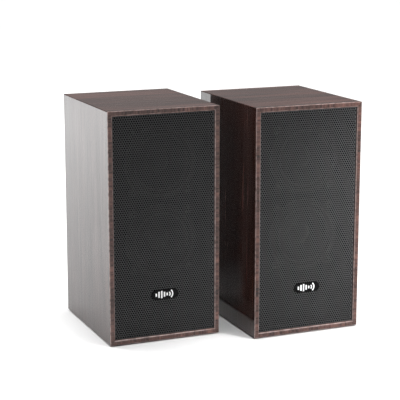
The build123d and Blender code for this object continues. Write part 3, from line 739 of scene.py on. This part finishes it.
# ---- scene ----------------------------------------------------------------
def carry_over_materials():
    """Gives every CAD node that stays its procedural finish."""
    finishes = {
        "baffle_plastic": moulded("baffle_plastic", (0.0015, 0.0015, 0.0015), 0.85, specular=0.08),
        "panel_board": moulded("panel_film", (0.016, 0.016, 0.016), 0.55, grain=900, strength=0.3),
        "black_moulding": moulded("black_moulding", (0.018, 0.018, 0.019), 0.5),
        "knob_plastic": moulded("knob_plastic", (0.014, 0.014, 0.015), 0.38),
        "red_plastic": moulded("red_plastic", (0.42, 0.012, 0.01), 0.3, coat=0.3),
        "black_plastic": moulded("black_plastic", (0.012, 0.012, 0.012), 0.3, coat=0.3),
        "amp_plate": brushed("amp_plate", (0.085, 0.085, 0.09), 0.38, (25, 900, 2400)),
        "zinc_steel": brushed("zinc_steel", (0.6, 0.6, 0.58), 0.35, (500, 500, 500)),
        "black_steel": moulded("black_steel", (0.004, 0.004, 0.004), 0.5, specular=0.12),
        "black_screw": brushed("black_screw", (0.014, 0.014, 0.015), 0.4, (1200, 1200, 1200)),
        "ferrite": moulded("ferrite", (0.045, 0.045, 0.047), 0.6, grain=1200, strength=0.4),
        "paper_cone": paper_pulp(),
        "cap_film": moulded("cap_film", (0.004, 0.004, 0.004), 0.38, specular=0.2),
        "coil_copper": brushed("coil_copper", (0.75, 0.33, 0.15), 0.25, (300, 6000, 300)),
        "foot_foam": moulded("foot_foam", (0.02, 0.02, 0.02), 0.85, grain=3000, strength=0.6),
        "board_green": moulded("board_green", (0.01, 0.09, 0.03), 0.35, grain=700, strength=0.3),
        "bare_aluminium": brushed("bare_aluminium", (0.78, 0.78, 0.79), 0.35, (900, 30, 900)),
        "core_steel": brushed("core_steel", (0.16, 0.15, 0.14), 0.5, (40, 2500, 40)),
        "pin_metal": brushed("pin_metal", (0.8, 0.79, 0.76), 0.2, (1500, 100, 1500)),
    }
    slots = {row["node"]: row["material_slot"] for row in frame["record"]["subparts"]}
    veneers = {f"{side}_cabinet_sleeve": veneer(side) for side in SIDES}
    for name, node in frame["nodes"].items():
        material = veneers.get(name) or finishes.get(slots[name])
        if material is not None:
            node.data.materials.clear()
            node.data.materials.append(material)


FLOOR_HALF_SIZE = 9.0
BACKDROP_RADIUS = 8.5
BACKDROP_HEIGHT = 6.0
BACKDROP_STEPS = 72


def make_floor():
    half = FLOOR_HALF_SIZE
    corners = [(-half, -half, 0), (half, -half, 0), (half, half, 0), (-half, half, 0)]
    mesh_piece("floor", corners, [(0, 1, 2, 3)], floor_white())


def make_backdrop():
    """A pale screen all round, well outside the lights. It fills the background and lights nothing."""
    finish = Finish("backdrop_paper", Roughness=1.0, Specular_IOR_Level=0.0, Emission_Strength=1.0)
    finish.colour((0.0, 0.0, 0.0, 1.0))
    paper = finish.ramp(finish.noise((2, 2, 2), detail=1), (0.0, 0.98), (1.0, 1.0))
    finish.plug(paper, finish.shader.inputs["Emission Color"])
    steps = BACKDROP_STEPS
    turns = [2 * math.pi * step / steps for step in range(steps)]
    ring = [(BACKDROP_RADIUS * math.cos(turn), BACKDROP_RADIUS * math.sin(turn)) for turn in turns]
    points = [(x, y, z) for z in (0.0, BACKDROP_HEIGHT) for x, y in ring]
    faces = [(k, (k + 1) % steps, steps + (k + 1) % steps, steps + k) for k in range(steps)]
    backdrop = mesh_piece("backdrop", points, faces, finish.material)
    for ray in ("diffuse", "glossy", "transmission", "volume_scatter", "shadow"):
        setattr(backdrop, f"visible_{ray}", False)


# the card reaches from the near to the far end in Y, and its middle shifts to the right by the slope
FLAG_MIDDLE = 0.005
FLAG_HALF_WIDTH = 0.11
FLAG_NEAR = 0.055
FLAG_FAR = 1.35
FLAG_SLOPE = 0.445
FLAG_FADE = 0.12
FLAG_HEIGHT = 0.001


def make_reflection_shade_flag():
    """A black card lying behind the pair, which only the clear coat mirrors: painted shade.

    It keeps the pale floor out of the gap's reflections, as if the floor there lay in shade.
    """
    finish = Finish("flag_reflection_shade", Roughness=0.9, Specular_IOR_Level=0.0)
    fibres = finish.noise((400, 400, 400), detail=1)
    finish.colour(finish.ramp(fibres, (0.3, 0.003), (0.7, 0.005)))
    # the card fades out at its near end and along its two long sides, so no reflection has a hard edge
    axes = finish.axes()
    across = finish.maths("SUBTRACT", axes[0], finish.maths("MULTIPLY", axes[1], FLAG_SLOPE))
    off_middle = finish.maths("ABSOLUTE", finish.maths("SUBTRACT", across, FLAG_MIDDLE))
    inwards = finish.ramp(finish.maths("DIVIDE", off_middle, FLAG_HALF_WIDTH), (0.5, 1.0), (1.0, 0.0))
    past_start = finish.maths("DIVIDE", finish.maths("SUBTRACT", axes[1], FLAG_NEAR), FLAG_FADE)
    onwards = finish.ramp(past_start, (0.0, 0.0), (1.0, 1.0))
    finish.plug(finish.maths("MULTIPLY", inwards, onwards), finish.shader.inputs["Alpha"])
    left, right = FLAG_MIDDLE - FLAG_HALF_WIDTH, FLAG_MIDDLE + FLAG_HALF_WIDTH
    corners = [(side + FLAG_SLOPE * y, y, FLAG_HEIGHT)
               for side, y in ((left, FLAG_NEAR), (right, FLAG_NEAR), (right, FLAG_FAR), (left, FLAG_FAR))]
    flag = mesh_piece("flag", corners, [(0, 1, 2, 3)], finish.material)
    flag.visible_camera = False
    flag.visible_diffuse = False
    flag.visible_shadow = False


def area_light(name, place, aim, size, power, spread_degrees):
    """A soft box that gives light but isn't mirrored, so it leaves no square glare on the clear coat."""
    data = bpy.data.lights.new(name, "AREA")
    data.shape = "RECTANGLE"
    data.size, data.size_y = size
    data.energy = power
    data.spread = math.radians(spread_degrees)
    light = bpy.data.objects.new(name, data)
    light.location = place
    light.rotation_euler = (Vector(aim) - Vector(place)).to_track_quat("-Z", "Y").to_euler()
    light.visible_glossy = False
    bpy.context.collection.objects.link(light)


def sun_light(name, comes_from, strength, angle_degrees, mirrored):
    """A light as wide in the sky as its angle, which the clear coat mirrors or doesn't."""
    data = bpy.data.lights.new(name, "SUN")
    data.energy = strength
    data.angle = math.radians(angle_degrees)
    light = bpy.data.objects.new(name, data)
    light.rotation_euler = Vector(comes_from).to_track_quat("Z", "Y").to_euler()
    light.visible_glossy = mirrored
    bpy.context.collection.objects.link(light)


WORLD_BACK = 0.28
WORLD_AMBIENT = 0.012


def make_world():
    """A dark studio whose far end, behind the pair, is softly lit."""
    world = bpy.data.worlds.new("studio")
    world.use_nodes = True
    tree = world.node_tree
    background = tree.nodes["Background"]
    direction = tree.nodes.new("ShaderNodeTexCoord")
    split = tree.nodes.new("ShaderNodeSeparateXYZ")
    backwards = tree.nodes.new("ShaderNodeMath")
    backwards.operation = "MAXIMUM"
    backwards.inputs[1].default_value = 0.0
    squared = tree.nodes.new("ShaderNodeMath")
    squared.operation = "POWER"
    squared.inputs[1].default_value = 2.0
    lifted = tree.nodes.new("ShaderNodeMath")
    lifted.operation = "ADD"
    lifted.inputs[1].default_value = WORLD_AMBIENT / WORLD_BACK
    tree.links.new(direction.outputs["Generated"], split.inputs[0])
    tree.links.new(split.outputs["Y"], backwards.inputs[0])
    tree.links.new(backwards.outputs[0], squared.inputs[0])
    tree.links.new(squared.outputs[0], lifted.inputs[0])
    tree.links.new(lifted.outputs[0], background.inputs["Color"])
    background.inputs["Strength"].default_value = WORLD_BACK
    bpy.context.scene.world = world


def make_lights():
    sun_light("overhead", comes_from=(0.0, 0.0, 1.0), strength=2.6, angle_degrees=24, mirrored=False)
    sun_light("front_right_key", comes_from=(0.45, -0.45, 0.77),
              strength=0.9, angle_degrees=40, mirrored=True)
    # lights the floor that the left cabinet's outer side mirrors
    area_light("back_left_pool", place=(-0.9, 1.3, 1.0), aim=(-0.6, 1.0, 0.0),
               size=(1.4, 1.4), power=15.2, spread_degrees=110)
    # lifts the right cabinet's grille and front edges
    area_light("front_right_strip", place=(0.42, -0.55, 0.42), aim=(0.13, -0.07, 0.11),
               size=(0.16, 0.16), power=0.24, spread_degrees=24)


make_camera()
make_floor()
make_backdrop()
make_reflection_shade_flag()
make_world()
make_lights()
carry_over_materials()
make_grilles()
make_badges()
make_suspensions()
make_marks()

bpy.context.scene.view_settings.view_transform = "Standard"
